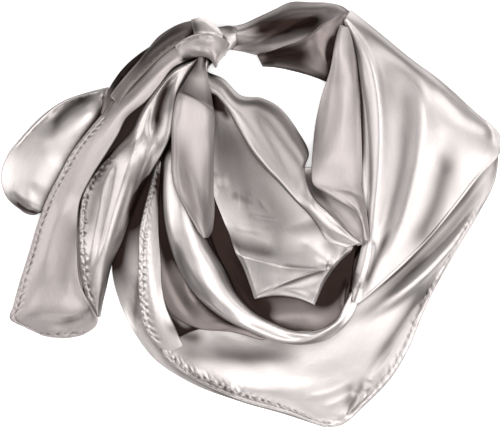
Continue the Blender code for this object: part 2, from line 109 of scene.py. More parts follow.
# Painted shade: the colour of a sheet is darkened where it lies below the folds around it. How far around,
# in cells, and how deep it lies for full painted shade, in metres
AROUND = {14: 0.0045, 40: 0.0085}
AROUND_ROUNDS = 3

# How much of that painted shade the sheets show that lie open to the light
PAINTED_SHADE_SHARES = {
    "centre_panel": 0.2, "tail_inner": 0.6, "front_strip": 0.5, "right_fall": 0.5, "hem_strip": 0.5,
    "front_fall": 0.4, "flap_lining": 0.5,
}

# A fold's curve: its places, how far between them it is read, how much of its run it begins and ends
# in, and how many widths off it is still felt
FOLD_PLACES = 61
FOLD_BETWEEN = 0.6
FOLD_END = 0.3
FAR_WIDTHS = 3.0

# How fast folds begin inside a sheet's edges, and how much of them the edges keep
FOLD_START = 14
EDGE_HOLD = 0.5

# Sheets whose first and last edges bow out, and how far in the bow is felt
BOWS = {"centre_panel": (0, -6), "tail_front": (0, 3), "end_lobe": (0, 2), "hem_strip": (0, 4)}
BOW_REACH = 26

# The slight waves of the cloth: their height in mm, number, lengths and turns
RIPPLE = 0.12
RIPPLE_WAVES = 12
RIPPLE_LENGTHS = (16, 60)
RIPPLE_TURN = 0.3

# A hem's roll, furrow and gathers: their places and half widths, as shares of its width, and depths,
# and the most shade painted where its stitches dent it
HEM_ROLL = (0.45, 0.45)
HEM_FURROW = (1.1, 0.30)
HEM_GATHERS = (0.9, 0.9)
FURROW_SHARE = 0.6
PUCKER_SHARE = 0.25
MOST_DENT_SHADE = 1.5

# How softly a hem begins and ends, and the number, slants, lengths and starts of its puckers' waves
HEM_FADE = 0.03
PUCKER_WAVES = 5
PUCKER_SLANT = 1.5
PUCKER_LENGTHS = (0.6, 1.7)
PUCKER_START = 6

# The stitches of a hem, in metres, and their form as shares of their length and radius
STITCH_LENGTH = 0.0021
STITCH_PITCH = 0.0036
STITCH_RADIUS = 0.00022
STITCH_LIFT = 0.8
STITCH_SHOULDERS = (0.2, 0.8)
STITCH_SIDES = 5
FEWEST_STITCH_PLACES = 4

# The edges of a sheet as its hems name them: 0 is edge A
EDGE_B = 1
START = 2
END = 3

# The rows of the tables. A fold's curve runs through three points, with its widths to the left and
# right of its heading. Its form is 2 where it is round and 1 where it is crisp. A shade mark is
# painted shade: it darkens the colour of the cloth that lies below a height, in mm.
Section = namedtuple("Section", "ax ay bx by")
Fold = namedtuple("Fold", "x0 y0 x1 y1 x2 y2 left right rise form", defaults=(2,))
ShadeMark = namedtuple("ShadeMark", "x0 y0 x1 y1 x2 y2 left right dark below form", defaults=(60, 2))
# The last column of a hem is how much shade is painted where its stitches dent it
Hem = namedtuple("Hem", "edge start end width roll pucker wave dent")
# How softly a mark's painted shade fades above its height, in metres
SHADE_MARK_EASE = 0.002

# The stretches that show: rows and columns of places where the solid is felt for, and sections
PLANS = {
    "outer_layer": (22, 5, """
    152 150 168 152
    138 180 166 184
    128 208 165 212
    119 232 165 240
    113 256 170 266
    114 280 186 290
    128 320 206 316
    155 359 222 342
    190 382 242 360
    240 401 276 380
    285 414 314 402
    325 427 332 422
    """),
    "front_fall": (27, 9, """
    485 160 498 152
    466 178 495 178
    440 206 478 213
    415 236 456 250
    385 266 437 283
    350 293 422 314
    316 316 408 348
    282 322 390 378
    254 322 364 405
    234 322 341 424
    222 324 330 426
    204 328 290 413
    186 334 235 397
    172 342 192 377
    162 346 164 358
    """),
    "cowl_lining": (8, 7, """
    213 180 330 200
    206 215 354 240
    216 250 352 265
    229 275 350 285
    241 300 345 303
    259 318 338 318
    281 330 322 330
    """),
    "under_swag": (18, 5, """
    157 170 185 170
    157 215 195 215
    158 255 205 255
    162 290 215 285
    173 314 226 301
    200 328 240 316
    232 331 256 325
    262 339 275 333
    """),
    "hem_strip": (18, 4, """
    156 160 161 162
    151 185 159 187
    145 208 158 208
    140 232 158 232
    139 260 160 260
    139 285 161 285
    141 308 166 308
    147 330 176 330
    158 347 182 345
    """),
    "swag": (25, 8, """
    176 105 205 105
    166 140 200 140
    163 172 200 175
    163 208 200 215
    170 242 208 243
    182 272 222 266
    200 298 235 293
    225 318 251 311
    252 331 270 322
    280 341 290 330
    304 343 306 332
    326 338 321 329
    344 325 336 320
    356 304 346 302
    359 291 353 289
    """),
    "top_band": (18, 7, """
    223  28 229  49
    240  26 242  51
    258  18 258  55
    275  10 273  57
    290   3 286  51
    310   3 303  44
    330   4 322  33
    342   7 335  28
    351  14 346  27
    """),
    "band_fold": (16, 8, """
    258  56 263  66
    272  52 276  67
    286  47 291  70
    300  42 306  74
    312  34 318  78
    323  25 329  82
    335  18 335  80
    347  14 345  66
    """),
    "right_fall": (22, 12, """
    344  22 351  11
    349  37 376  31
    355  55 410  59
    358  80 440  81
    360 110 473 111
    360 138 499 136
    360 160 499 152
    361 180 478 176
    362 205 457 203
    364 232 431 235
    358 260 406 261
    352 285 378 286
    352 301 358 303
    """),
    "centre_panel": (18, 10, """
    211  92 217  92
    213 120 240 118
    213 155 265 150
    213 190 290 180
    222 215 312 205
    230 235 335 230
    236 252 352 246
    243 265 337 263
    250 283 323 283
    255 298 314 304
    """),
    "flap_lining": (12, 4, """
    303 168 317 168
    306 190 331 188
    320 208 351 200
    338 224 361 215
    350 238 365 232
    357 245 366 243
    """),
    "neck_edge": (20, 6, """
    203  56 215  60
    209  91 208  73
    217  97 222  79
    228 110 240  96
    240 131 262  99
    252 152 280 109
    266 169 297 131
    280 183 308 153
    295 200 304 170
    308 213 311 195
    318 226 327 212
    326 240 343 228
    346 247 360 243
    """),
    "inner_flap": (16, 7, """
    340  27 347  29
    337  36 350  38
    335  45 352  46
    330  72 357  72
    322  97 359  97
    316 125 360 125
    313 155 361 155
    312 171 361 172
    314 185 361 187
    326 193 363 198
    338 201 365 207
    349 207 366 215
    356 213 367 223
    361 224 368 232
    363 239 368 241
    """),
    "end_lobe": (15, 8, """
    108  88 107 118
     88  93 100 132
     65 101  91 148
     42 117  81 164
     22 138  72 178
      8 157  62 192
      2 178  54 204
      8 198  46 211
     24 212  38 213
    """),
    "tail_inner": (22, 8, """
    193  60 202  59
    174  71 191  71
    157  90 181  92
    142 112 176 112
    130 135 170 137
    115 150 163 152
     99 168 152 170
     86 188 141 190
     81 212 131 213
     80 238 122 240
     81 262 111 265
     84 285 106 287
     90 303 102 304
     97 316 100 316
    """),
    "tail_front": (22, 7, """
    197  38 203  56
    180  45 187  61
    160  57 173  68
    143  75 158  87
    127  91 146 101
    112 106 127 117
     95 125 118 134
     76 149 107 152
     60 177  90 179
     48 200  80 200
     38 226  77 225
     29 256  77 254
     20 284  80 284
     14 306  90 305
     11 319  97 318
     25 327  95 326
     42 335  84 334
    """),
    "tail_band_under": (10, 3, """
    152  46 157  60
    140  54 145  68
    125  67 131  81
    113  83 119  96
    106  98 111 106
    102 113 104 117
    """),
    "tail_band": (18, 7, """
    204  20 200  37
    180  25 180  44
    160  37 163  55
    148  51 148  70
    140  61 140  78
    128  75 130  89
    119  86 124  97
    111  97 119 104
    """),
    "front_strip": (18, 8, """
    196  50 208  50
    198  61 204  61
    188  79 207  77
    178  98 212 101
    174 120 214 120
    173 150 213 150
    173 172 213 172
    177 190 213 192
    186 208 214 209
    194 222 213 222
    200 232 211 232
    204 237 208 237
    """),
    "knot_back": (6, 5, """
    214  29 216  54
    222  28 222  54
    229  27 229  50
    236  28 236  44
    """),
    "knot_top": (8, 6, """
    192  21 196  38
    200  19 203  38
    208  22 211  38
    216  28 217  40
    223  35 222  42
    """),
    "knot_wrap": (12, 7, """
    176  47 182  62
    185  41 190  59
    194  37 197  57
    203  36 204  57
    210  36 211  60
    217  38 216  68
    224  41 219  62
    229  45 226  54
    """),
}

# The runs of hidden layers: how many lie on each other, and sections
HIDDEN_LAYERS = {
    "hidden_body": (4, """
    206 106 190  98
    226 120 186 120
    246 142 184 150
    262 172 182 185
    280 200 182 222
    296 222 188 262
    304 240 206 304
    312 250 250 342
    322 256 306 372
    334 258 345 372
    344 250 386 322
    350 234 420 262
    352 210 452 214
    352 180 472 172
    350 150 476 140
    350 120 456 112
    352  92 428  90
    354  66 392  68
    353  46 367  47
    """),
    "hidden_band": (4, """
    336  16 334  58
    322  11 322  66
    306  10 304  62
    290  11 288  58
    274  20 276  54
    258  29 260  48
    244  33 244  45
    """),
    "hidden_tails": (3, """
    188  42 198  66
    170  48 184  84
    146  66 170 108
    124  86 158 134
    102 112 146 158
     86 140 134 182
     72 168 122 206
     60 196 112 230
     50 228 102 256
     42 258  96 280
     36 288  90 298
     34 310  84 312
    """),
    "hidden_lobe": (3, """
     86 104  88 120
     66 112  76 134
     46 126  66 150
     30 144  56 164
     18 164  46 180
     16 182  38 194
     24 196  32 200
    """),
}

# How each stretch is finished: its satin, which is the duller back of the cloth or a copy of the cloth
# painted lighter or darker for light and shade, how often its form is softened, its fine folds, its hems,
# how it is held and what it rests on
Finish = namedtuple("Finish", "satin ease folds hems held rests_on")
FINISHES = {
    "outer_layer": Finish("outside", 2, """
    128 330 136 305 138 272 8 8 -1.6
    150 250 146 300 160 345 7 7  1.2
    """, "", "laid", ["hidden_body_layers", "floor"]),
    "front_fall": Finish("outside", 4, """
    488 174 445 238 356 308  7  9 -3.5
    494 170 442 256 356 324  5  7  3.5
    436 276 410 318 350 402  7  6 -3.0
    428 292 398 342 356 402  5  5  1.6
    190 352 245 358 305 362 14 13 -2.0
    205 378 260 390 330 384 10 12  1.4
    372 382 358 398 346 420  5  6 -3.4
    356 392 350 404 338 424  3  4  1.6
    300 396 330 392 356 376  3  3  0.4
    320 408 340 400 362 386  3  3  0.4
    176 362 182 370 190 372  4  4  1.6
    192 372 200 378 206 386  4  3  1.8
    206 380 216 386 222 394  3  4  1.6
    224 386 234 392 240 400  4  3  1.6
    """, """
    1 0.12 0.62  5.0 0.8 0.6 11 0.3
    1 0.62 0.99  6.0 1.0 1.6  8 0.5
    1 0.66 0.99 11.0 0.0 1.4  7 0.6
    """, "laid", ["hidden_body_layers", "outer_layer_cloth"]),
    # The cowl's far wall: a sheet in the darkest copy, painted shade
    "cowl_lining": Finish("inside", 1, """
    110 190 262 192 410 194 16 14 -7.0
    262 322 292 316 330 318  8  8  1.5
    348 276 343 298 346 320  2  2  1.8
    226 240 240 290 268 318  9  8 -1.5
    """, "", "laid", ["hidden_body_layers"]),
    # Under the swag: a sheet in the darkest copy, painted shade
    "under_swag": Finish("inside", 1, """
    162 240 176 290 200 322 5 5 -1.5
    178 250 186 290 198 304 3 3  1.2
    200 322 232 326 262 334 3 4  1.0
    """, "", "laid", ["hidden_body_layers"]),
    "hem_strip": Finish("outside", 1, """
    150 200 146 260 158 330 5 5 1.0
    """, """
    0 0.02 0.98 5.0 0.8 1.0 7 0.3
    """, "laid", ["outer_layer_cloth", "under_swag_cloth"]),
    "swag": Finish("outside", 1, """
    176 238 188 276 214 306 5 5 -2.6
    187 278 191 292 197 304 2 2 -1.2 1
    166 200 184 258 232 314 7 8  1.6
    264 330 306 339 350 306 3 4  1.4
    300 331 326 327 346 304 3 3 -1.4
    """, "", "laid", ["under_swag_cloth", "cowl_lining_cloth", "front_fall_cloth"]),
    "top_band": Finish("shaded", 1, """
    222 38 250 28 276 15 4 4  1.6
    222 44 256 42 300 24 4 5 -2.0
    262 28 290 14 335  7 5 7  1.2
    276 36 300 24 330 16 6 6 -2.4
    318 10 330  5 344  9 4 4  1.2
    """, "", "gathered", ["hidden_band_layers", "floor"]),
    # The fold of the band, in the darkest copy: painted shade
    "band_fold": Finish("inside", 1, """
    308 40 322 26 344  8 3 4  2.2
    330 28 318 42 328 70 4 4  1.8
    335 34 328 52 332 68 3 3 -2.4
    262 58 282 50 308 40 5 6 -1.2
    """, "", "gathered", ["hidden_band_layers", "top_band_cloth"]),
    "right_fall": Finish("outside", 4, """
    350  38 358  90 362 210  3  3  1.2
    356  60 367 140 367 240  3  3 -2.0
    350  30 379 118 362 290  6  7  3.0
    384  40 398 150 372 262 13 13 -2.4
    412  62 420 150 374 288 10 10  2.6
    437 142 436 200 408 250  9 12 -2.8
    478 108 490 124 492 150  5  5 -1.4
    372 236 369 260 362 286  3  3 -1.6
    """, """
    1 0.56 0.97 3.0 0.3 0.0 20 0.0
    """, "laid", ["hidden_body_layers", "front_fall_cloth"]),
    "centre_panel": Finish("outside", 3, """
    220 246 250 258 284 264  7 20  4.6 1
    262 262 298 268 342 266 15 20  4.8 1
    325 266 330 267 337 268  6  6  3.0 1
    336 268 342 256 356 244  6  7  4.0 1
    342 266 296 277 246 302  6 18  5.0 1
    332 262 324 284 314 308  7 12  4.8 1
    228 244 243 276 256 308 12  4  1.8
    300 236 314 250 332 268  6  6 -0.8
    225 226 255 222 300 226  8  8  0.5
    254 300 284 291 318 304  4  4  1.2
    238 199 243 199 249 200  7  7 -0.3
    258 198 264 206 271 216  2  2 0.25
    248 213 262 218 282 220  2  3  0.4
    234 226 248 230 268 232  2  3  0.4
    """, "", "gathered", ["hidden_body_layers", "cowl_lining_cloth"]),
    "flap_lining": Finish("reverse", 1, """
    312 180 336 214 358 240 4 5 -1.5
    """, "", "folded", ["centre_panel_cloth"]),
    "neck_edge": Finish("middle", 1, """
    205  80 249 150 334 254 6 6  3.6
    240  96 268 140 304 196 9 9 -2.0
    300 190 322 218 354 244 7 8  2.4
    """, "", "folded", ["centre_panel_cloth", "flap_lining_cloth"]),
    "inner_flap": Finish("reverse", 2, """
    314 184 334 197 354 210  3  3  1.4
    354 210 362 222 364 242  3  3  1.6
    338  40 326 100 316 160  4  6 -1.2
    349  50 346 100 338 150  8  9  1.4
    336 150 346 176 352 200 10 10 -0.9
    360 206 366 220 366 240  3  3 -1.4
    """, "", "folded", ["band_fold_cloth", "flap_lining_cloth", "neck_edge_cloth"]),
    "end_lobe": Finish("outside", 8, """
    102  96 66 108 48 142  6  9 -3.4
     10 190 26 206 44 212  3  5 -2.0
     60 150 40 170 30 196 14 14  1.2
     98 128 84 150 70 190  5  6 -1.4
    """, """
    0 0.04 0.60 3.0 0.5 0.2 11 0.2
    2 0.05 0.95 4.5 1.0 0.9  7 0.5
    """, "laid", ["hidden_lobe_layers", "floor"]),
    "tail_inner": Finish("middle", 2, """
    190  58 152 100 132 152 3 5  3.6
    138 136 121 196  90 296 5 4  3.0
    186  62 155 104 152 146 3 3  2.2
    180  68 162 100 158 138 4 5 -3.6
    158 132 138 186 116 250 3 3  1.6
    122 150 108 204  96 262 4 4 -2.0
    106 184  98 226  86 276 4 4  1.6
    """, """
    0 0.42 0.96 5.0 1.0 1.1 7 0.3
    """, "gathered", ["hidden_tails_layers", "outer_layer_cloth"]),
    "tail_front": Finish("reverse", 4, """
    184  48 148  78 116 112  4  5 -1.6
    180  56 140  90  96 152  6  6  1.4
     78 196  54 232  43 290  7  9  2.2
     86 218  66 262  62 304 12 12 -2.2
     92 290  84 314  46 326  6  4 -2.0
     92 130  70 170  54 214  8  8 -0.9
     86 312  64 330  40 330  5  5  0.9
    """, """
    0 0.30 0.97 4.5 1.0 1.0 8 0.5
    3 0.04 0.96 4.5 1.0 0.9 8 0.4
    """, "laid", ["hidden_tails_layers", "tail_inner_cloth"]),
    # Under the tail band, in the darkest copy: painted shade
    "tail_band_under": Finish("inside", 1, "", "", "folded", ["hidden_tails_layers", "floor"]),
    # The tail band, in a darker copy: painted shade
    "tail_band": Finish("dim", 1, """
    196 26 170 38 146 56 3 4 -1.4
    196 32 166 46 140 72 3 3  1.2
    150 62 136 76 122 96 4 4 -1.2
    """, """
    1 0.05 0.80 3.5 0.6 0.5 9 0.3
    """, "folded", ["tail_band_under_cloth", "tail_front_cloth"]),
    "front_strip": Finish("reverse", 2, """
    168  91 196 101 222 122 1 15  3.2
    178 150 187 190 201 232 7  6 -1.4
    184 160 196 190 202 224 3  3  0.9
    176 110 176 150 184 205 3  5  1.2
    210 130 210 170 208 224 3  3  1.0
    """, "", "gathered", ["swag_cloth", "neck_edge_cloth"]),
    "knot_back": Finish("middle", 1, "", "", "folded", ["top_band_cloth"]),
    # The top of the knot, in a lighter copy: painted highlight
    "knot_top": Finish("pale", 1, """
    200 24 208 28 218 36 3 3 -0.8
    """, "", "folded", ["tail_band_cloth", "knot_back_cloth"]),
    "knot_wrap": Finish("reverse", 1, """
    162 30 180 54 196 84 7 5 -3.0
    194 56 206 54 217 68 2 3  1.4
    184 46 200 38 218 40 2 3  0.9
    206 40 214 46 222 58 3 3 -0.9
    """, """
    0 0.00 0.55 3.0 0.4 0.3 7 0.3
    """, "folded", ["tail_band_cloth", "tail_front_cloth", "knot_top_cloth"]),
}

# Painted shade: marks that darken the colour of the cloth where it lies in shade, in all sheets, each up to
# a height, and in single sheets
SHADE_MARKS_OF_ALL = """
    118 124 132 108 150  88 8 8  1.1 16
    102 164 112 142 124 116 7 7  1.0 14
    150 156 141 190 130 232 6 6  1.0 12
    213  92 216 102 219 114 4 4  0.9 24
    164 160 163 210 172 282 6 6  1.0 20
    162 316 184 334 210 335 7 7 0.75 15
    180  62 188  60 200  60 4 4  1.0 30
    208  62 213  68 216  80 4 5  1.2 24
    256  58 264  64 276  67 4 5  0.9 12
    130  86 118 104 112 120 5 5  0.6 12
"""

SHADE_MARKS = {
    "centre_panel": """
    206  70 260 186 306 262 36 40 0.74
    214  90 234 140 252 206 14 14 0.30
    236 222 290 228 344 218 11 14 0.70
    208 234 246 247 288 256 16  7 0.76
    318 232 338 250 352 250  9  9 0.50
    276 262 305 268 332 268  2  8 0.60
    344 264 296 279 246 301  3  1 0.60
    254 300 284 290 312 300  5  5 0.30
    224 190 244 199 264 208  9  9 0.70
    208  84 220 104 236 132  6  7 0.90
    """,
    "top_band": """
    236 40 286 24 350 26 14 22 1.05
    230 46 256 44 300 40  7  9 0.60
    """,
    "band_fold": """
    250 60 284 54 322 62 16 18 1.05
    334 30 330 52 332 74  4  5 0.70
    """,
    "front_strip": """
    166  90 196  99 224 114 16 1 0.70
    203  40 200  62 196  86  9 9 0.60
    204  46 211  64 216  86  5 4 1.60
    178 120 188 186 205 236  9 8 0.62
    208 140 206 196 204 240  5 5 0.45
    """,
    "neck_edge": """
    226 74 284 142 322 222 13 20 0.46
    """,
    "tail_band": """
    200 26 160 42 126 84 12 12 0.80
    """,
    "tail_band_under": """
    150 50 122 80 104 112 10 10 0.30
    """,
    "right_fall": """
    346  12 388  50 446  92 16 20 0.34
    376  24 402 140 372 272 16 16 0.50
    448 126 436 200 396 268 13 11 0.74
    352  40 361 120 360 190  3  3 0.90
    364  70 371 140 368 240  4  3 0.40
    370 206 355 262 350 314  4  4 0.85
    396 216 375 262 360 302  4  4 0.80
    """,
    "front_fall": """
    500 150 440 240 330 332  9  8 0.60
    504 140 432 234 330 324  6  6 0.80
    450 224 398 286 338 330  6  9 0.70
    436 270 404 320 360 396 10 10 0.55
    160 344 226 357 310 350 12 10 0.66
    176 366 206 386 242 396  9  9 0.40
    346 380 350 396 340 418  5  5 0.50
    """,
    "tail_inner": """
    178  70 160 104 158 138 5 5 0.70
    142  98 116 134  98 182 8 7 1.00
    114 146  97 192  88 250 9 9 0.62
    118 156 108 200  98 256 3 3 0.45
    146 150 130 204 108 268 4 5 0.70
    122 240 106 286  98 330 6 6 0.75
    """,
    "tail_front": """
     88 204 68 250 62 304 12 12 0.32
    100 262 88 310 34 328 10  6 0.35
    """,
    "end_lobe": """
    104  98 68 110 44 144 6 9 0.60
     10 194 26 209 44 213 3 4 1.00
     94 130 84 156 74 184 5 5 0.30
    """,
    "cowl_lining": """
    214 180 222 250 262 322 18 16 0.80
    222 272 248 302 280 324 12 10 1.00
    366 226 341 278 304 312 15 18 1.30
    """,
    "swag": """
    176 236 188 276 214 308  5 5 0.55
    240 336 286 344 336 334  3 3 0.60
    208 120 206 210 250 296  9 9 0.60
    210 250 240 296 300 328 10 4 0.45
    """,
    "knot_top": """
    188 10 196 30 200 50 5 8 0.80
    """,
    "knot_back": """
    216 24 226 28 238 32 3 5 0.80
    """,
    "outer_layer": """
    112 222 122 270 146 336 9 9 0.35
    124 286 134 308 146 330 7 7 0.40
    """,
}

# The satin: one cloth in copies whose colours are painted lighter or darker for light and shade, and
# its duller back; the near-black painted shade deep between the folds, its gloss, and the grain of its
# threads: stretch, detail and roughness of each noise, its share of the tone, and its bumps
Satin = namedtuple("Satin", "colour metallic roughness")
SATINS = {
    # The cloth, its colour painted a little lighter for light
    "outside": Satin((0.68, 0.635, 0.625), 0.80, 0.36),
    # A copy painted darker: painted shade
    "middle": Satin((0.52, 0.48, 0.47), 0.85, 0.34),
    # A copy painted lighter: painted highlight
    "pale": Satin((0.80, 0.75, 0.72), 0.70, 0.40),
    "shaded": Satin((0.43, 0.39, 0.385), 0.80, 0.38),
    "reverse": Satin((0.52, 0.47, 0.465), 0.62, 0.43),
    # A copy painted much darker: painted shade, for sheets that lie in deep shade
    "inside": Satin((0.28, 0.24, 0.23), 0.75, 0.40),
    # A copy painted darker: painted shade
    "dim": Satin((0.34, 0.30, 0.29), 0.65, 0.42),
    # A copy painted dark for the hidden layers: painted shade
    "layers": Satin((0.30, 0.265, 0.255), 0.6, 0.42),
    "thread": Satin((0.46, 0.42, 0.41), 0.1, 0.6),
}
# The near-black colour that painted shade darkens the satin towards
PAINTED_SHADE_COLOUR = (0.020, 0.011, 0.009, 1)
SPECULAR = 0.2
GRAIN = ((900, 60, 1), 3.0, 0.6)
BROAD = ((60, 12, 1), 2.0, 0.5)
TONE = 0.78
GRAIN_TONE = 0.30
BROAD_TONE = 0.14
GRAIN_ROUGHNESS = 0.08
BUMP_STRENGTH = 0.28
BUMP_HEIGHT = 0.0004

# The sockets of a node that mixes colours
MIX_FACTOR = 0
MIX_FIRST = 6
MIX_SECOND = 7
MIX_RESULT = 2

# The studio: its lights by place, size and power, the floor and the camera's lens
LIGHTS = {
    "overhead": ((0.12, 0.05, 1.6), (0.95, 0.85), 8.6),
    "right": ((0.95, -0.35, 1.0), (0.7, 1.1), 7.0),
    "corner": ((0.80, 0.75, 0.9), (0.7, 0.7), 4.0),
    "left": ((-0.95, 0.08, 0.8), (0.6, 0.9), 4.6),
    "front": ((0.0, -1.1, 0.9), (1.1, 0.7), 4.8),
    "back": ((-0.1, 1.1, 0.9), (0.9, 0.6), 1.8),
}
LIGHT_COLOUR = (1, 0.99, 0.98)
SURROUND = 0.06
FLOOR_SIZE = 8
FLOOR_PAINT = {
    "Base Color": (0.93, 0.93, 0.93, 1), "Roughness": 0.9, "Specular IOR Level": 0.2,
    "Emission Color": (1, 1, 1, 1), "Emission Strength": 0.5,
}
LENS = 250
SENSOR = 36
FAR_CLIP = 100


def rows_of(kind, text):
    """The rows of a table written as text."""
    return [kind(*map(float, line.split())) for line in text.strip().splitlines()]


def run_up(steps, axis=0):
    """The distances after each of some steps, from 0."""
    return np.insert(np.cumsum(steps, axis=axis), 0, 0, axis=axis)


def smooth_step(part):
    """A soft step from 0 to 1."""
    part = np.clip(part, 0, 1)
    return part * part * (3 - 2 * part)


def bell(at, middle, half_width):
    """A soft rise around a place."""
    return np.exp(-(((at - middle) / half_width) ** 2))


def eased(stops, values, at):
    """Rows of values known at some stops, read at other places on smooth curves through them."""
    slopes = np.gradient(values, stops, axis=0)
    low = np.clip(np.searchsorted(stops, at, side="right") - 1, 0, len(stops) - 2)
    span = (stops[low + 1] - stops[low])[:, None]
    part = (at - stops[low])[:, None] / span
    rest = 1 - part
    ends = values[low] * (1 + 2 * part) * rest**2 + values[low + 1] * part**2 * (1 + 2 * rest)
    return ends + span * (slopes[low] * part * rest**2 - slopes[low + 1] * part**2 * rest)


def finer(grid, count):
    """A coarse grid with this many rows, on smooth curves through its own."""
    return eased(np.arange(len(grid)), grid, np.linspace(0, len(grid) - 1, count))


def run_length(rows):
    """How far the middle of a stretch runs past each section, in grid units."""
    steps = np.diff(rows, axis=0).reshape(-1, 2, 2)
    return run_up(np.linalg.norm(steps, axis=2).mean(axis=1))


def sections_along(rows, count):
    """The sections of a stretch, read at evenly spaced places along it."""
    stops = run_length(rows)
    return eased(stops, rows, np.linspace(0, stops[-1], count))


def plan_grid(rows, along, across):
    """The plan places of a sheet, with a row for each section, and how far across each column is."""
    ax, ay, bx, by = sections_along(rows, along).T[:, :, None]
    even = np.linspace(0, 1, across)[None, :]
    u = even - CROWDING * np.sin(2 * np.pi * even) / (2 * np.pi)
    return (1 - u) * ax + u * bx, (1 - u) * ay + u * by, u


def bowed(x, y, u, bows):
    """Plan places with the sheet's first and last edge bowed out along its run, by grid units."""
    middle = x.shape[1] // 2
    for bow, end, inner in ((bows[0], 0, 1), (bows[1], -1, -2)):
        way = np.array([x[end, middle] - x[inner, middle], y[end, middle] - y[inner, middle]])
        way /= np.linalg.norm(way)
        away = np.hypot(x[:, middle] - x[end, middle], y[:, middle] - y[end, middle])[:, None]
        shift = bow * 4 * u * (1 - u) * smooth_step(1 - away / BOW_REACH)
        x = x + shift * way[0]
        y = y + shift * way[1]
    return x, y


def in_world(x, y, z):
    """Plan places and heights as points in metres."""
    return np.stack([(x - MIDDLE_X) * GRID, (MIDDLE_Y - y) * GRID, z], axis=-1)


def in_plan(points):
    """Points in metres as plan places and heights."""
    x, y, z = np.moveaxis(points, -1, 0)
    return x / GRID + MIDDLE_X, MIDDLE_Y - y / GRID, z


def undersides(name, x, y):
    """The height of a solid's underside at these places, looked up from below."""
    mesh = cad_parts[name].data
    mesh.calc_loop_triangles()
    corners = [vertex.co for vertex in mesh.vertices]
    tree = BVHTree.FromPolygons(corners, [triangle.vertices for triangle in mesh.loop_triangles])
    spots = in_world(x, y, 0 * x)
    middle = spots.mean(axis=1, keepdims=True)
    spots = middle + INSIDE * (spots - middle)
    heights = np.full(x.shape, np.nan)
    for place in np.ndindex(x.shape):
        hit = tree.ray_cast((*spots[place][:2], FAR_BELOW), (0, 0, 1))[0]
        if hit is not None:
            heights[place] = hit[2]
    for column in heights.T:
        known = np.flatnonzero(~np.isnan(column))
        column[:] = np.interp(np.arange(len(column)), known, column[known])
    return heights


def fold_share(fold, x, y):
    """How fully these places lie on a fold, from 0 beside it to 1 on its line."""
    first, middle, last = np.reshape(fold[:6], (3, 2))
    t = np.linspace(0, 1, FOLD_PLACES)[:, None]
    pull = 2 * middle - 0.5 * (first + last)
    curve = (1 - t) ** 2 * first + 2 * t * (1 - t) * pull + t**2 * last
    reach = FAR_WIDTHS * max(fold.left, fold.right)
    low, high = curve.min(axis=0) - reach, curve.max(axis=0) + reach
    near = (x > low[0]) & (x < high[0]) & (y > low[1]) & (y < high[1])
    away = np.stack([x[near], y[near]], axis=-1)[:, None, :] - curve
    nearest = np.linalg.norm(away, axis=-1).argmin(axis=-1)
    offset = away[np.arange(len(nearest)), nearest]
    heading = np.gradient(curve, axis=0)[nearest]
    shift = (offset * heading).sum(axis=-1) / (heading**2).sum(axis=-1)
    furthest_back = np.where(nearest > 0, -FOLD_BETWEEN, 0)
    furthest_on = np.where(nearest < FOLD_PLACES - 1, FOLD_BETWEEN, 0)
    shift = np.clip(shift, furthest_back, furthest_on)
    distance = np.linalg.norm(offset - shift[:, None] * heading, axis=-1)
    part = (nearest + shift) / (FOLD_PLACES - 1)
    on_right = heading[:, 0] * offset[:, 1] - heading[:, 1] * offset[:, 0] > 0
    width = np.where(on_right, fold.right, fold.left)
    fade = smooth_step(part / FOLD_END) * smooth_step((1 - part) / FOLD_END)
    share = np.zeros_like(x)
    share[near] = fade * np.exp(-((distance / width) ** fold.form))
    return share


def fold_rise(text, x, y):
    """How far the fine folds of a sheet lift it at these places, in metres."""
    rises = (fold.rise * MM * fold_share(fold, x, y) for fold in rows_of(Fold, text))
    return sum(rises, np.zeros_like(x))


def painted_shade_marks(text, x, y, z):
    """How much shade a table's marks paint into the colour of the cloth at these places."""
    marks = np.zeros_like(x)
    for shade_mark in rows_of(ShadeMark, text):
        deep = smooth_step((shade_mark.below * MM - z) / SHADE_MARK_EASE)
        marks = np.maximum(marks, shade_mark.dark * fold_share(shade_mark, x, y) * deep)
    return marks


def ripple(x, y, seed):
    """Slight waves of the cloth, long along its run and short across it, in metres."""
    chance = np.random.default_rng(seed)
    heading = math.atan2(y[-1].mean() - y[0].mean(), x[-1].mean() - x[0].mean())
    total = np.zeros_like(x)
    for _ in range(RIPPLE_WAVES):
        turn = heading + math.pi / 2 + chance.normal(0, RIPPLE_TURN)
        length = chance.uniform(*RIPPLE_LENGTHS)
        phase = chance.uniform(0, 2 * math.pi)
        wave = np.sin(2 * math.pi * (x * math.cos(turn) + y * math.sin(turn)) / length + phase)
        total += wave * length / RIPPLE_LENGTHS[1]
    return total * RIPPLE * MM / 2


def edge_frame(edge, points):
    """The distance from one edge of a sheet, and how far along that edge, both in metres."""
    if edge in (START, END):
        points = np.swapaxes(points, 0, 1)
    if edge in (EDGE_B, END):
        points = points[:, ::-1]
    away = run_up(np.linalg.norm(np.diff(points, axis=1), axis=2), axis=1)
    along = run_up(np.linalg.norm(np.diff(points[:, 0], axis=0), axis=1))[:, None] + 0 * away
    if edge in (EDGE_B, END):
        away = away[:, ::-1]
    if edge in (START, END):
        away, along = away.T, along.T
    return away, along


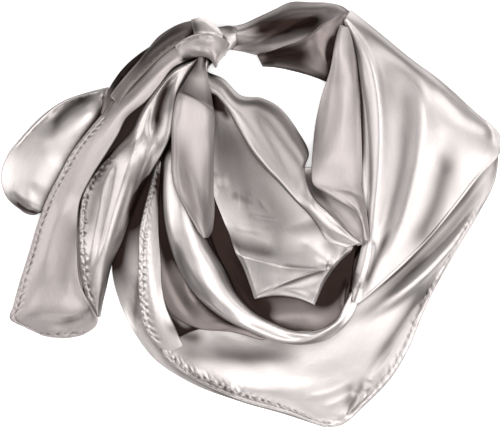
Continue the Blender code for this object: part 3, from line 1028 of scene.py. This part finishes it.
def hem_shape(text, points, seed):
    """How far the hems of a sheet lift it, by a roll, a furrow and puckers, and the shade painted where
    their stitches dent them.
    """
    rise = np.zeros(points.shape[:2])
    dark = np.zeros(points.shape[:2])
    chance = np.random.default_rng(seed)
    for hem in rows_of(Hem, text):
        away, along = edge_frame(hem.edge, points)
        share = along / along.max()
        ends = np.clip(np.minimum(share - hem.start, hem.end - share) / HEM_FADE, 0, 1)
        wave = 0
        for _ in range(PUCKER_WAVES):
            slanted = along + chance.uniform(-PUCKER_SLANT, PUCKER_SLANT) * away
            length = hem.wave * MM * chance.uniform(*PUCKER_LENGTHS)
            wave = wave + np.sin(2 * math.pi * slanted / length + chance.uniform(0, PUCKER_START))
        across = away / (hem.width * MM)
        roll, furrow, gathers = (bell(across, *place) for place in (HEM_ROLL, HEM_FURROW, HEM_GATHERS))
        rolled = hem.roll * (roll - FURROW_SHARE * furrow)
        rise += ends * MM * (rolled + hem.pucker * PUCKER_SHARE * wave * gathers)
        # Painted shade in the dents of the stitches
        dark += ends * hem.dent * furrow * np.clip(0.5 - 0.5 * wave, 0, MOST_DENT_SHADE)
    return rise, dark


def widened(values):
    """Values on a grid, each raised to the highest of those around it."""
    wide = np.pad(values, 1, "edge")
    rows, across = values.shape
    return np.max([wide[r:r + rows, c:c + across] for r, c in np.ndindex(3, 3)], axis=0)


def softened(values):
    """Values on a grid, each taken a little towards those beside it."""
    for axis in (0, 1):
        wide = np.pad(values, [(int(k == axis), int(k == axis)) for k in (0, 1)], "edge")
        before, after = (np.take(wide, range(k, k + values.shape[axis]), axis) for k in (0, 2))
        values = 0.25 * before + 0.5 * values + 0.25 * after
    return values


def blurred(heights, reach):
    """A map of heights as means over squares of this reach, taken a few times."""
    span = 2 * reach + 1
    for _ in range(AROUND_ROUNDS):
        for axis in (0, 1):
            ends = [(reach + 1, reach) if k == axis else (0, 0) for k in (0, 1)]
            sums = np.cumsum(np.pad(heights, ends, "edge"), axis=axis)
            count = heights.shape[axis]
            high = np.take(sums, range(span, span + count), axis)
            heights = (high - np.take(sums, range(count), axis)) / span
    return heights


def spread_lift(lift, x, y):
    """A lift with its steps eased into slopes, so that the cloth doesn't jump."""
    steps = [np.hypot(np.diff(x, axis=k), np.diff(y, axis=k)).mean() * GRID for k in (0, 1)]
    for _ in range(EASE_ROUNDS):
        for axis in (0, 1):
            fall = EASE_SLOPE * steps[axis]
            ahead = np.roll(lift, 1, axis) - fall
            behind = np.roll(lift, -1, axis) - fall
            np.moveaxis(ahead, axis, 0)[0] = 0
            np.moveaxis(behind, axis, 0)[-1] = 0
            lift = np.maximum(lift, np.maximum(ahead, behind))
    for _ in range(EASE_REACH):
        lift = widened(lift)
    for _ in range(2 * EASE_REACH):
        lift = softened(lift)
    return lift


class Pile:
    """The top of all that has been laid down so far, as a map of heights."""

    def __init__(self):
        self.top = np.zeros((int(MAP_DEPTH / CELL), int(MAP_WIDTH / CELL)))

    def cells(self, x, y):
        """The cells of the map at these places."""
        column = np.rint((x + MAP_MARGIN) / CELL).astype(int)
        row = np.rint((y + MAP_MARGIN) / CELL).astype(int)
        return np.clip(row, 0, self.top.shape[0] - 1), np.clip(column, 0, self.top.shape[1] - 1)

    def add(self, x, y, z):
        """Raises the map to a sheet's upper side."""
        for step in np.ndindex(STAMPS, STAMPS):
            a, b = (part / STAMPS for part in step)
            weights = ((1 - a) * (1 - b), (1 - a) * b, a * (1 - b), a * b)
            spots = []
            for values in (x, y, z):
                corners = (values[:-1, :-1], values[:-1, 1:], values[1:, :-1], values[1:, 1:])
                spots.append(sum(w * c for w, c in zip(weights, corners)))
            np.maximum.at(self.top, self.cells(spots[0], spots[1]), spots[2])

    def below(self, x, y):
        """The height that a sheet's edge can turn down to at these places."""
        return self.top[self.cells(x, y)] + CLEARANCE + CLOTH

    def short_of(self, x, y, z):
        """How far a sheet at these places has to rise to lie on the pile."""
        top = widened(self.top)[self.cells(x, y)]
        return np.maximum(np.where(top > 0, top + CLEARANCE, 0) - z, 0)


def folded_under(edge, inner):
    """New rows beyond an edge of a sheet, which turn it under in a round fold, and its row inside it."""
    x, y, z, below = edge
    out = edge[:2] - inner[:2]
    out = out / np.maximum(np.linalg.norm(out, axis=0), NO_LENGTH)
    drop = np.maximum(z - below, 0)
    for _ in range(TURN_EVENED):
        drop[1:-1] = 0.25 * drop[:-2] + 0.5 * drop[1:-1] + 0.25 * drop[2:]
    turn = np.linspace(0, math.pi, TURN_PLACES + 1)[1:, None]
    down = (1 - np.cos(turn)) / 2
    share = smooth_step(drop / TURN_FROM - 1)
    bulge = np.minimum(TURN_BULGE, TURN_BULGE_SHARE * drop) * np.sin(turn)
    tuck = np.minimum(TURN_TUCK, TURN_TUCK_SHARE * drop) * down
    reach = (share * (bulge - tuck) + (1 - share) * TURN_FLAT * turn) / GRID
    height = np.maximum(z - share * drop * down, np.minimum(z, below))
    return np.stack([x + out[0] * reach, y + out[1] * reach, height, below + 0 * turn])


def turned_under(sheet):
    """A sheet's plan places and heights, from them and the height below, with its edges turned under."""
    for _ in range(2):
        sheet = np.swapaxes(sheet, 1, 2)
        first = folded_under(sheet[:, 0], sheet[:, 1])
        last = folded_under(sheet[:, -1], sheet[:, -2])
        sheet = np.concatenate([first[:, ::-1], sheet, last], axis=1)
    return sheet[:3]


class Wire:
    """One number or colour of a shader, which adds nodes when it is worked with."""

    def __init__(self, tree, socket):
        self.tree = tree
        self.socket = socket

    def __add__(self, other):
        return add_node(self.tree, "ShaderNodeMath", {"operation": "ADD"}, [self, other])

    def __mul__(self, other):
        return add_node(self.tree, "ShaderNodeMath", {"operation": "MULTIPLY"}, [self, other])

    __radd__ = __add__
    __rmul__ = __mul__


def add_node(tree, kind, settings=None, values=(), output=0):
    """A node with its settings, and then the values or wires of its sockets. Returns one output."""
    node = tree.nodes.new(kind)
    for name, value in (settings or {}).items():
        setattr(node, name, value)
    pairs = values.items() if isinstance(values, dict) else enumerate(values)
    for place, value in pairs:
        if isinstance(value, Wire):
            tree.links.new(value.socket, node.inputs[place])
        else:
            node.inputs[place].default_value = value
    return Wire(tree, node.outputs[output])


def streaks(tree, place, stretch, detail, roughness):
    """Noise that is drawn out along the threads."""
    place = add_node(tree, "ShaderNodeMapping", {}, {"Vector": place, "Scale": stretch})
    values = {"Vector": place, "Scale": 1.0, "Detail": detail, "Roughness": roughness}
    return add_node(tree, "ShaderNodeTexNoise", {}, values)


def satin(name):
    """Satin with fine streaks that run with its threads, and shade painted into its colour by an attribute
    of its piece.
    """
    kind = SATINS[name]
    material = bpy.data.materials.new(name + "_satin")
    material.use_nodes = True
    tree = material.node_tree
    shader = tree.nodes["Principled BSDF"]
    place = add_node(tree, "ShaderNodeUVMap", {"uv_map": "threads"})
    grain = streaks(tree, place, *GRAIN)
    broad = streaks(tree, place, *BROAD)
    # Painted shade: how far the colour is darkened towards near black
    painted_shade = add_node(tree, "ShaderNodeAttribute", {"attribute_name": "painted_shade"}, output="Fac")
    tone = TONE + GRAIN_TONE * grain + BROAD_TONE * broad
    lit = add_node(
        tree, "ShaderNodeVectorMath", {"operation": "SCALE"}, {"Vector": kind.colour, "Scale": tone}
    )
    mixed = {MIX_FACTOR: painted_shade, MIX_FIRST: lit, MIX_SECOND: PAINTED_SHADE_COLOUR}
    colour = add_node(tree, "ShaderNodeMix", {"data_type": "RGBA"}, mixed, MIX_RESULT)
    rough = kind.roughness - GRAIN_ROUGHNESS / 2 + GRAIN_ROUGHNESS * grain
    relief = {"Strength": BUMP_STRENGTH, "Distance": BUMP_HEIGHT, "Height": grain}
    bump = add_node(tree, "ShaderNodeBump", {}, relief)
    for socket, wire in (("Base Color", colour), ("Roughness", rough), ("Normal", bump)):
        tree.links.new(wire.socket, shader.inputs[socket])
    shader.inputs["Metallic"].default_value = kind.metallic
    shader.inputs["Specular IOR Level"].default_value = SPECULAR
    return material


def lay_threads(mesh, s, t):
    """A UV map in metres that runs with the threads of the cloth."""
    layer = mesh.uv_layers.new(name="threads")
    corners = np.zeros(len(mesh.loops), int)
    mesh.loops.foreach_get("vertex_index", corners)
    threads = np.stack([s.ravel()[corners], t.ravel()[corners]], axis=1)
    layer.data.foreach_set("uv", threads.ravel().astype(np.float32))


def new_piece(name, points, faces, material):
    """A smooth piece of these points and faces."""
    mesh = bpy.data.meshes.new(name)
    mesh.from_pydata(points.reshape(-1, 3).tolist(), [], faces)
    mesh.shade_smooth()
    mesh.materials.append(material)
    piece = bpy.data.objects.new(name, mesh)
    bpy.context.scene.collection.objects.link(piece)
    return piece


def finished(piece, *nodes):
    """The piece rides on the scarf, in its satin, and stands for its solids, where it has any."""
    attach(piece, "root")
    if nodes:
        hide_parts(*nodes)


def grid_faces(points):
    """The squares of a sheet, turned so that its upper side is its front."""
    rows, wide = points.shape[:2]
    here = (np.arange(rows - 1)[:, None] * wide + np.arange(wide - 1)).ravel()
    faces = np.stack([here, here + 1, here + wide + 1, here + wide], axis=1)
    a, b, c = (points.reshape(-1, 3)[faces[:, k]] for k in range(3))
    upward = np.cross(b - a, c - a)[:, 2].sum()
    return (faces if upward > 0 else faces[:, ::-1]).tolist()


def stitch_places(laid, hem):
    """Where the stitches of a hem begin and end, on the sheet's upper side."""
    away, along = edge_frame(hem.edge, laid)
    if hem.edge in (START, END):
        away, along, laid = away.T, along.T, np.swapaxes(laid, 0, 1)
    column = np.abs(away - HEM_FURROW[0] * hem.width * MM).argmin(axis=1)
    line = laid[np.arange(len(column)), column]
    share = along[:, 0] / along[:, 0].max()
    line = line[(share > hem.start) & (share < hem.end)]
    if len(line) < FEWEST_STITCH_PLACES:
        return []
    for k in (0, 1):
        line[1:-1, k] = np.convolve(line[:, k], np.ones(3) / 3, "same")[1:-1]
    run = run_up(np.linalg.norm(np.diff(line, axis=0), axis=1))
    starts = np.arange(STITCH_PITCH, run[-1] - STITCH_PITCH, STITCH_PITCH)
    first, last = (
        np.stack([np.interp(spots, run, line[:, k]) for k in range(3)], axis=1)
        for spots in (starts, starts + STITCH_LENGTH)
    )
    return list(zip(first, last))


def sew(name, pairs, material):
    """The stitches of a sheet's hems: short threads, pointed where they enter the cloth."""
    points, faces = [], []
    for first, last in pairs:
        run = last - first
        run /= np.linalg.norm(run)
        side = np.cross(run, (0, 0, 1.0))
        side /= np.linalg.norm(side)
        up = np.cross(side, run)
        base = len(points)
        points.append(first)
        for share in STITCH_SHOULDERS:
            middle = first + share * (last - first) + up * STITCH_RADIUS * STITCH_LIFT
            for angle in 2 * math.pi * np.arange(STITCH_SIDES) / STITCH_SIDES:
                points.append(middle + STITCH_RADIUS * (math.cos(angle) * side + math.sin(angle) * up))
        points.append(last)
        for turn in range(STITCH_SIDES):
            here, beside = base + 1 + turn, base + 1 + (turn + 1) % STITCH_SIDES
            faces.append((base, here, beside))
            faces.append((here, here + STITCH_SIDES, beside + STITCH_SIDES, beside))
            faces.append((base + 1 + 2 * STITCH_SIDES, beside + STITCH_SIDES, here + STITCH_SIDES))
    points = np.array(points)
    piece = new_piece(name, points, faces, material)
    lay_threads(piece.data, points[:, 0], points[:, 1])
    return piece


def cloth_form(name, finish, pile):
    """One stretch of the scarf on its solid's form: plan places, heights and the shade painted where its
    hems are dented.
    """
    along, across, plan = PLANS[name]
    rows = np.array(rows_of(Section, plan))
    x, y, _ = plan_grid(rows, along, across + 1)
    z = undersides(name, x, y)
    for _ in range(finish.ease):
        z = softened(z)
    widest = np.linalg.norm(rows[:, 2:] - rows[:, :2], axis=1).max()
    along = int(run_length(rows)[-1] / FACET) + 2
    across = int(widest / FACET) + 3
    x, y, u = plan_grid(rows, along, across)
    x, y = bowed(x, y, u, BOWS.get(name, (0, 0)))
    z = np.maximum(finer(finer(z, along).T, across).T, 0) + SEAT
    seed = sum(ord(letter) for letter in name)
    t = np.linspace(0, 1, along)[:, None]
    inside = np.minimum(1, EDGE_HOLD + FOLD_START * u * (1 - u))
    ends = np.minimum(1, FOLD_START * t * (1 - t))
    z = z + inside * (fold_rise(finish.folds, x, y) + ends * ripple(x, y, seed))
    rise, dent_shades = hem_shape(finish.hems, in_world(x, y, z), seed)
    z = np.maximum(z + rise, CLEARANCE)
    return x, y, z + spread_lift(pile.short_of(x, y, z), x, y), dent_shades


def lay_cloth(name, finish, pile, satins):
    """One stretch of the scarf, as thin cloth with turned edges and stitches, and the shade painted where
    its hems are dented.
    """
    x, y, z, dent_shades = cloth_form(name, finish, pile)
    laid = in_world(x, y, z + CLOTH)
    points = in_world(*turned_under(np.stack([x, y, z, pile.below(x, y)])))
    pile.add(*in_plan(laid))
    piece = new_piece(name + "_cloth", points, grid_faces(points), satins[finish.satin])
    steps_along, steps_across = (np.linalg.norm(np.diff(points, axis=k), axis=2) for k in (0, 1))
    s = run_up(steps_across, axis=1)
    s = s - 0.5 * s[:, -1:]
    lay_threads(piece.data, s, run_up(steps_along.mean(axis=1))[:, None] + 0 * s)
    wall = piece.modifiers.new("wall", "SOLIDIFY")
    wall.thickness = CLOTH
    wall.offset = 1
    finished(piece, name)
    pairs = []
    for hem in rows_of(Hem, finish.hems):
        pairs += stitch_places(laid, hem)
    stitches = [sew(name + "_stitches", pairs, satins["thread"])] if pairs else []
    for seam in stitches:
        finished(seam)
    inner = slice(TURN_PLACES, -TURN_PLACES)
    return piece, np.pad(dent_shades, TURN_PLACES, "edge").ravel()


def layer_profile(count, width):
    """Half of a section through stacked layers with round noses, as insets and heights."""
    turns = np.linspace(-math.pi / 2, math.pi / 2, NOSE_PLACES)
    layers = np.arange(count)[:, None]
    inset = layers * LAYER_STEP + LAYER_NOSE * (1 - np.cos(turns))
    height = (layers + 0.5 + 0.5 * np.sin(turns)) * LAYER
    return np.minimum(inset.ravel(), LAYERS_SHARE * width), height.ravel()


def stack_layers(name, pile, satins):
    """The hidden layers of one run: folded cloth, stepped and rounded at its edges."""
    count, plan = HIDDEN_LAYERS[name]
    rows = np.array(rows_of(Section, plan))
    rings = []
    for section in sections_along(rows, int(run_length(rows)[-1] / LAYERS_FACET) + 2):
        a, b = section[:2], section[2:]
        width = np.linalg.norm(b - a) * GRID
        inset, height = layer_profile(count, width)
        part = np.concatenate([inset / width, [0.5], 1 - inset[::-1] / width])
        level = np.concatenate([height, [height[-1] + LAYERS_CROWN], height[::-1]])
        spots = a + part[:, None] * (b - a)
        rings.append(in_world(spots[:, 0], spots[:, 1], LAYERS_PRESSED * level + LAYERS_LIFT))
    rings = np.array(rings)
    pile.add(*in_plan(rings))
    along, wide = rings.shape[:2]
    faces = []
    for k, j in np.ndindex(along - 1, wide):
        here, beside = k * wide + j, k * wide + (j + 1) % wide
        faces.append((here, here + wide, beside + wide, beside))
    faces += [tuple(range(wide)), tuple(reversed(range((along - 1) * wide, along * wide)))]
    piece = new_piece(name + "_layers", rings, faces, satins["layers"])
    mesh = piece.data
    mesh.update()
    if sum((face.center.z - LAYERS_INSIDE) * face.normal.z * face.area for face in mesh.polygons) < 0:
        mesh.flip_normals()
    across = np.linalg.norm(rings - rings[:, :1], axis=2)
    run = run_up(np.linalg.norm(np.diff(rings.mean(axis=1), axis=0), axis=1))
    lay_threads(mesh, across, run[:, None] + 0 * across)
    finished(piece, name)
    area = sum(face.area for face in mesh.polygons) / 2
    area / run[-1]
    return piece, 0


def paint_shade(made, pile):
    """Paints shade on each piece, as an attribute that darkens its colour: where it lies below the folds
    around it, under the shade marks, and where its hems are dented.
    """
    around = {reach: blurred(pile.top, reach) for reach in AROUND}
    for name, (piece, dent_shades) in made.items():
        points = np.zeros(3 * len(piece.data.vertices))
        piece.data.vertices.foreach_get("co", points)
        x, y, z = in_plan(points.reshape(-1, 3))
        spots = pile.cells(x, y)
        painted_shades = [smooth_step((around[reach][spots] - z - CLOTH) / deep) for reach, deep in AROUND.items()]
        painted_shade = PAINTED_SHADE_SHARES.get(name, 1) * np.max(painted_shades, axis=0)
        for table in (SHADE_MARKS_OF_ALL, SHADE_MARKS.get(name, "")):
            painted_shade = np.minimum(1, painted_shade + painted_shade_marks(table, x, y, z))
        # The painted shade, which the satin darkens its colour by
        mark = piece.data.attributes.new("painted_shade", "FLOAT", "POINT")
        mark.data.foreach_set("value", np.clip(painted_shade + dent_shades, 0, 1).astype(np.float32))


def soft_light(name, place, size, power):
    """A soft light that shines on the middle of the scarf."""
    data = bpy.data.lights.new(name, "AREA")
    data.shape = "RECTANGLE"
    data.size, data.size_y = size
    data.energy = power
    data.color = LIGHT_COLOUR
    light = bpy.data.objects.new(name, data)
    light.location = place
    light.rotation_euler = (-light.location).to_track_quat("-Z", "Y").to_euler()
    light.visible_camera = False
    bpy.context.scene.collection.objects.link(light)


def light_the_studio():
    """A dim, pale surround and soft lights."""
    world = bpy.data.worlds.new("studio")
    world.use_nodes = True
    surround = world.node_tree.nodes["Background"]
    surround.inputs["Color"].default_value = (*LIGHT_COLOUR, 1)
    surround.inputs["Strength"].default_value = SURROUND
    bpy.context.scene.world = world
    for name, (place, size, power) in LIGHTS.items():
        soft_light(name, place, size, power)


def lay_the_floor():
    """A plain pale floor."""
    bpy.ops.mesh.primitive_plane_add(size=FLOOR_SIZE, location=(0, 0, 0))
    floor = bpy.context.object
    floor.name = "floor"
    paint = bpy.data.materials.new("pale_floor")
    paint.use_nodes = True
    shader = paint.node_tree.nodes["Principled BSDF"]
    for socket, value in FLOOR_PAINT.items():
        shader.inputs[socket].default_value = value
    floor.data.materials.append(paint)


def place_the_camera():
    """A camera straight above, which sees the whole view."""
    scene = bpy.context.scene
    data = bpy.data.cameras.new("camera")
    data.lens = LENS
    data.sensor_width = SENSOR
    data.clip_end = FAR_CLIP
    camera = bpy.data.objects.new("camera", data)
    x, y, _ = in_world(VIEW_WIDTH / 2, VIEW_HEIGHT / 2, 0.0)
    camera.location = (x, y, VIEW_WIDTH * GRID * LENS / SENSOR)
    scene.collection.objects.link(camera)
    scene.camera = camera
    scene.view_settings.view_transform = "Standard"


bpy.ops.object.select_all(action="DESELECT")
light_the_studio()
lay_the_floor()
place_the_camera()
satins = {name: satin(name) for name in SATINS}
pile = Pile()
made = {name: stack_layers(name, pile, satins) for name in HIDDEN_LAYERS}
for name, finish in FINISHES.items():
    made[name] = lay_cloth(name, finish, pile, satins)
paint_shade(made, pile)
